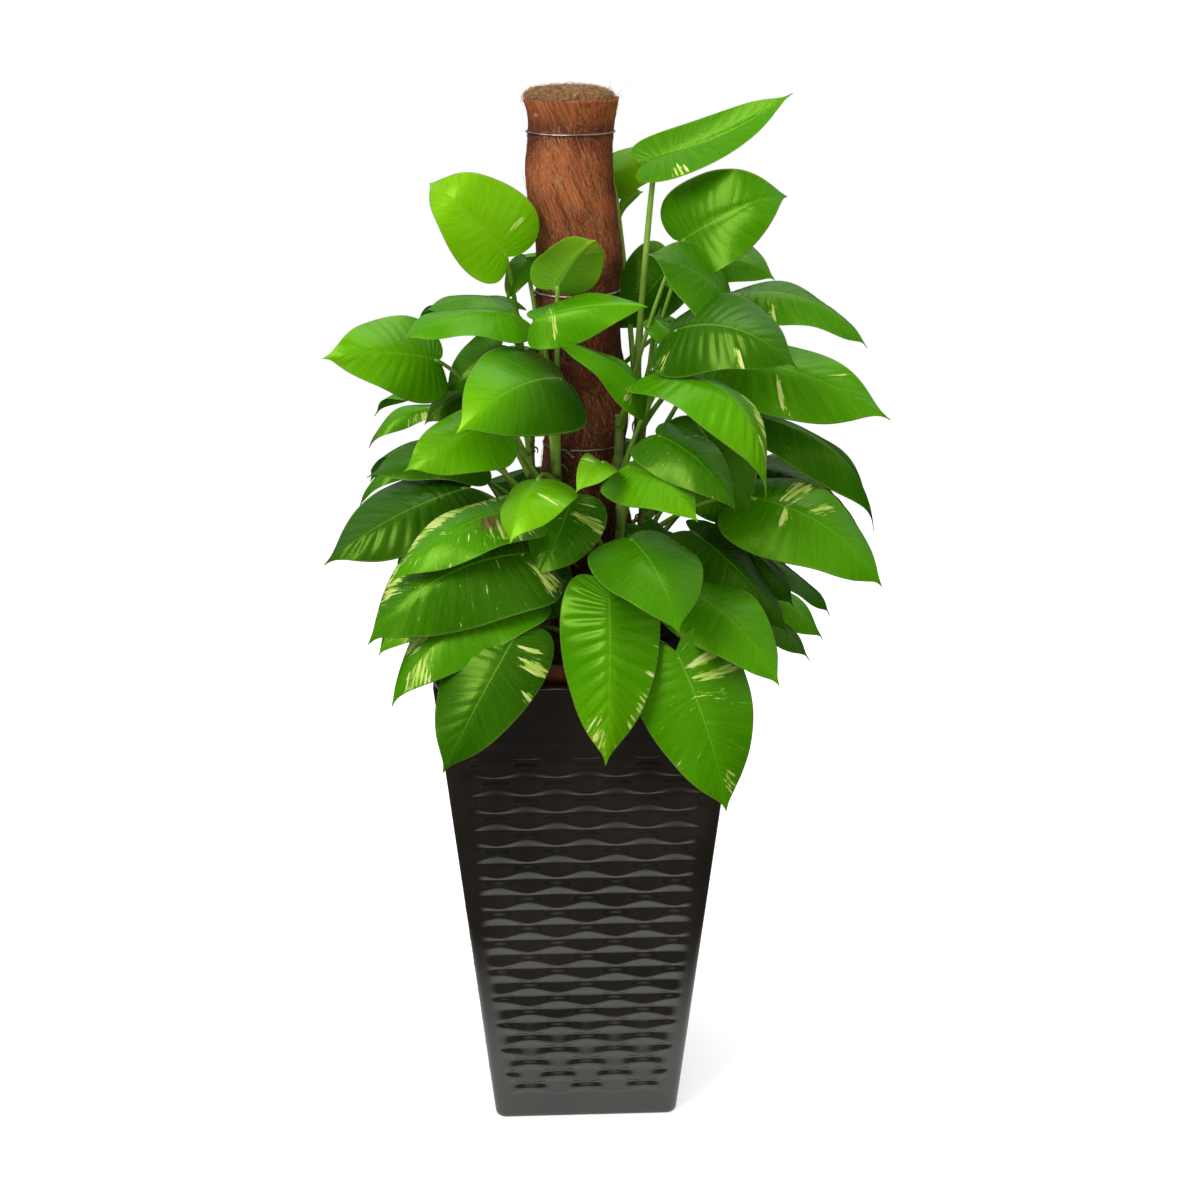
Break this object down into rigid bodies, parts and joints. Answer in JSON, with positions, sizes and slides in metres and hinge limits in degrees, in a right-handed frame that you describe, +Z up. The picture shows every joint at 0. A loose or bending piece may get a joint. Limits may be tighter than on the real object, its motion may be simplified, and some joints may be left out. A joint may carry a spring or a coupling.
{
  "type": "potted pothos plant",
  "caption": "Climbing pothos with heart-shaped leaves on a fibre-wrapped pole, in a nursery pot inside a tall square tapering planter with a glossy dark ripple-relief glaze.",
  "frame": {"origin": "centre of the planter's foot, on the floor", "axes": "+Z up, -Y towards the front of the plant, +X to the right as seen from the front"},
  "size_m": [0.5552, 0.4962, 1.0753],
  "materials": {
    "glazed_planter": "gloss",
    "nursery_plastic": "satin",
    "potting_mix": "matte",
    "stake_wood": "matte",
    "coir": "matte",
    "palm_fibre": "matte",
    "tie_wire": "satin",
    "vine_stem": "satin",
    "leaf": "gloss"
  },
  "bodies": {
    "root": {"planter": "glazed_planter", "nursery_pot": "nursery_plastic", "potting_mix": "potting_mix", "support_stake": "stake_wood", "coir_filling": "coir", "palm_fibre_wrap": "palm_fibre", "wire_tie_1": "tie_wire", "wire_tie_2": "tie_wire", "wire_tie_3": "tie_wire", "wire_tie_4": "tie_wire", "vine_front_left": "vine_stem", "vine_front_right": "vine_stem", "vine_right": "vine_stem", "vine_back": "vine_stem", "vine_left": "vine_stem", "leaf_01": "leaf", "leaf_02": "leaf", "leaf_03": "leaf", "leaf_04": "leaf", "leaf_05": "leaf", "leaf_06": "leaf", "leaf_07": "leaf", "leaf_08": "leaf", "leaf_09": "leaf", "leaf_10": "leaf", "leaf_11": "leaf", "leaf_12": "leaf", "leaf_13": "leaf", "leaf_14": "leaf", "leaf_15": "leaf", "leaf_16": "leaf", "leaf_17": "leaf", "leaf_18": "leaf", "leaf_19": "leaf", "leaf_20": "leaf", "leaf_21": "leaf", "leaf_22": "leaf", "leaf_23": "leaf", "leaf_24": "leaf", "leaf_25": "leaf", "leaf_26": "leaf", "leaf_27": "leaf", "leaf_28": "leaf", "leaf_29": "leaf", "leaf_30": "leaf", "leaf_31": "leaf", "leaf_32": "leaf", "leaf_33": "leaf", "leaf_34": "leaf", "leaf_35": "leaf", "leaf_36": "leaf", "leaf_37": "leaf", "leaf_38": "leaf", "leaf_39": "leaf", "leaf_40": "leaf", "leaf_41": "leaf", "leaf_42": "leaf", "leaf_43": "leaf", "leaf_44": "leaf", "leaf_45": "leaf"}
  },
  "joints": []
}
